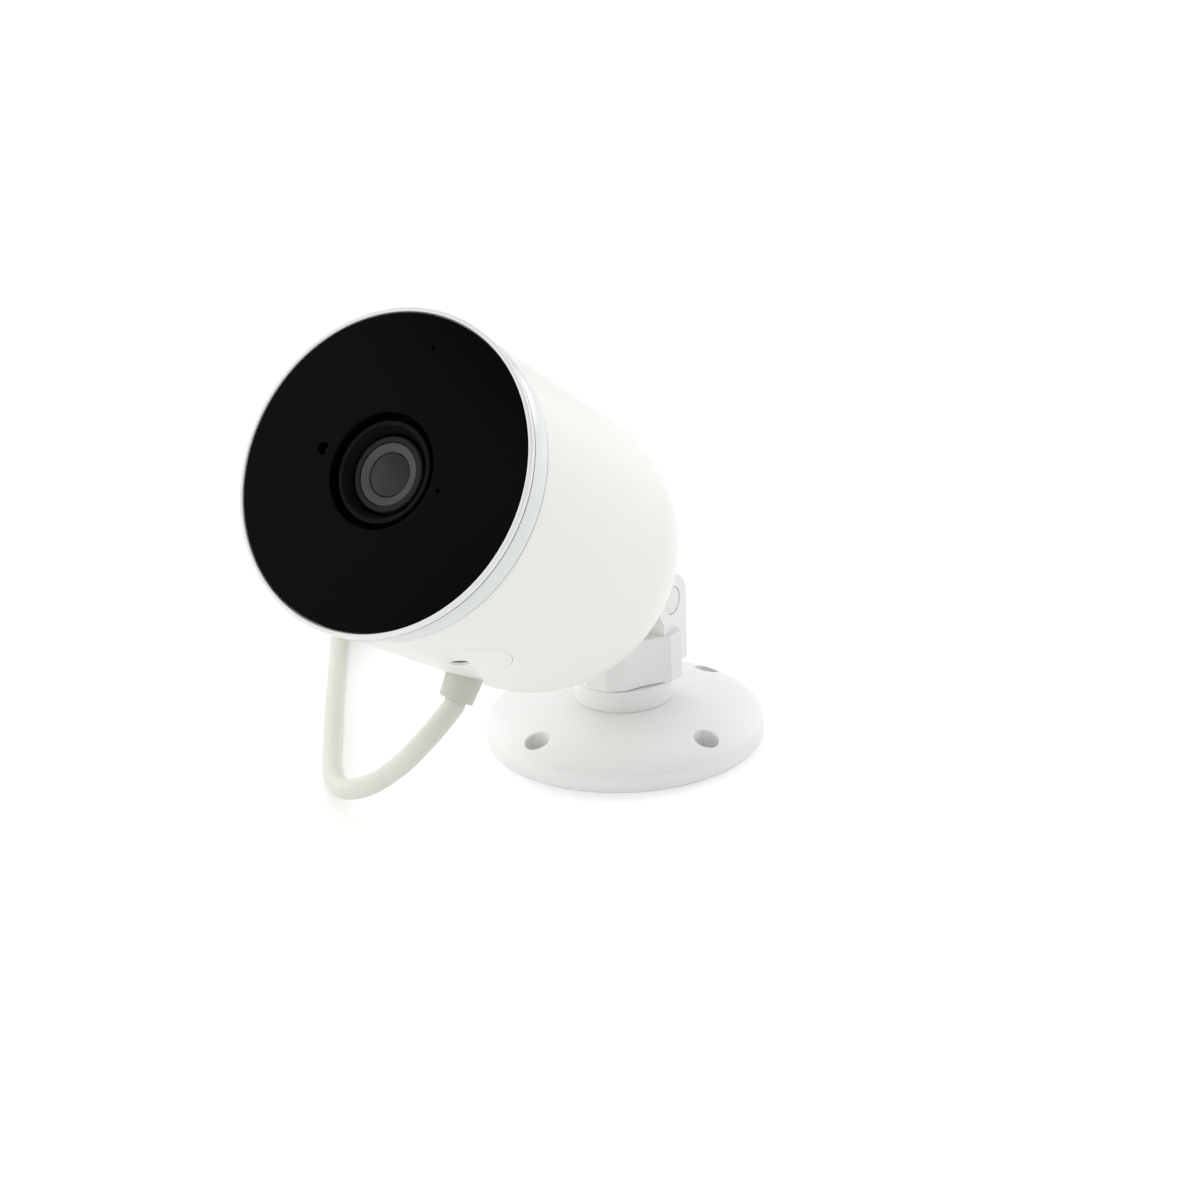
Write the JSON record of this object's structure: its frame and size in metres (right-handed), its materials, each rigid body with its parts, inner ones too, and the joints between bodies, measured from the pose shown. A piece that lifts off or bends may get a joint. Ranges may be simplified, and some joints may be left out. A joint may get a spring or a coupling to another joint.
{
  "type": "security camera",
  "caption": "Round-bodied outdoor security camera with a black front window on a pan and tilt bracket with a round base and a supply cord.",
  "frame": {"origin": "centre of the bracket base's flat underside, on the pan axis", "axes": "+Z out of the mounting surface along the pan axis, -Y the way the head looks at rest, +X across along the hinge"},
  "size_m": [0.1666, 0.2214, 0.1305],
  "materials": {
    "bracket_white": "satin moulded",
    "casing_white": "satin moulded",
    "window_black": "gloss",
    "band_silver": "pearl satin",
    "lens_plastic": "fine satin",
    "lens_glass": "coated",
    "black_plastic": "matt",
    "seal_rubber": "matt",
    "cord_jacket": "satin",
    "steel": "plated",
    "brass": "turned",
    "circuit_board": "solder mask",
    "chip": "moulded"
  },
  "bodies": {
    "base": {"base_plate": "bracket_white", "base_pad": "seal_rubber", "pan_bolt": "steel", "pan_washer": "steel"},
    "yoke": {"yoke": "bracket_white", "swivel_collar": "bracket_white", "swivel_washer": "black_plastic", "pan_nut": "brass", "tilt_bolt": "steel", "tilt_nut": "brass", "friction_washer_left": "black_plastic", "friction_washer_right": "black_plastic", "cord_lead": "cord_jacket", "cord_coil": "cord_jacket", "cord_tail": "cord_jacket", "plug_grip": "cord_jacket", "plug_contact": "steel"},
    "head": {"body_shell": "casing_white", "hatch_cover": "casing_white", "hatch_seal": "seal_rubber", "hatch_screw": "steel", "front_bezel": "casing_white", "trim_band": "band_silver", "front_window": "window_black", "window_seal": "seal_rubber", "lens_shroud": "lens_plastic", "lens_barrel": "black_plastic", "lens_retainer": "lens_plastic", "lens_front_glass": "lens_glass", "lens_rear_glass": "lens_glass", "lens_holder": "black_plastic", "image_sensor": "chip", "sensor_board": "circuit_board", "lamp_board": "circuit_board", "infrared_lamp_1": "lens_glass", "infrared_lamp_2": "lens_glass", "infrared_lamp_3": "lens_glass", "infrared_lamp_4": "lens_glass", "light_sensor": "chip", "microphone": "steel", "chassis": "black_plastic", "main_board": "circuit_board", "processor": "chip", "radio_module": "steel", "antenna": "brass", "power_board": "circuit_board", "board_screw_1": "steel", "board_screw_2": "steel", "service_board": "circuit_board", "card_slot": "steel", "reset_switch": "chip", "neck_arm": "casing_white", "hinge_bush": "brass", "neck_screw": "steel", "cord_gland": "cord_jacket", "gland_nut": "cord_jacket", "inner_lead": "cord_jacket"},
    "filter": {"ir_cut_filter": "lens_glass"},
    "button": {"reset_button": "lens_plastic"}
  },
  "joints": [
    {"name": "base_pan", "type": "hinge", "parent": "base", "child": "yoke", "pos_m": [0, 0, 0], "axis": [0, 0, 1], "continuous": true},
    {"name": "head_tilt", "type": "hinge", "parent": "yoke", "child": "head", "pos_m": [0, 0.0035, 0.0369], "axis": [-1, 0, 0], "range_deg": [-20, 57], "deforming": ["cord_lead"]},
    {"name": "filter_shift", "type": "slide", "parent": "head", "child": "filter", "axis": [1, 0, 0], "range_m": [0, 0.0098]},
    {"name": "reset_press", "type": "slide", "parent": "head", "child": "button", "axis": [-0.3007, 0.518, 0.8008], "range_m": [0, 0.0006], "stiffness_N_per_m": 1500}
  ]
}
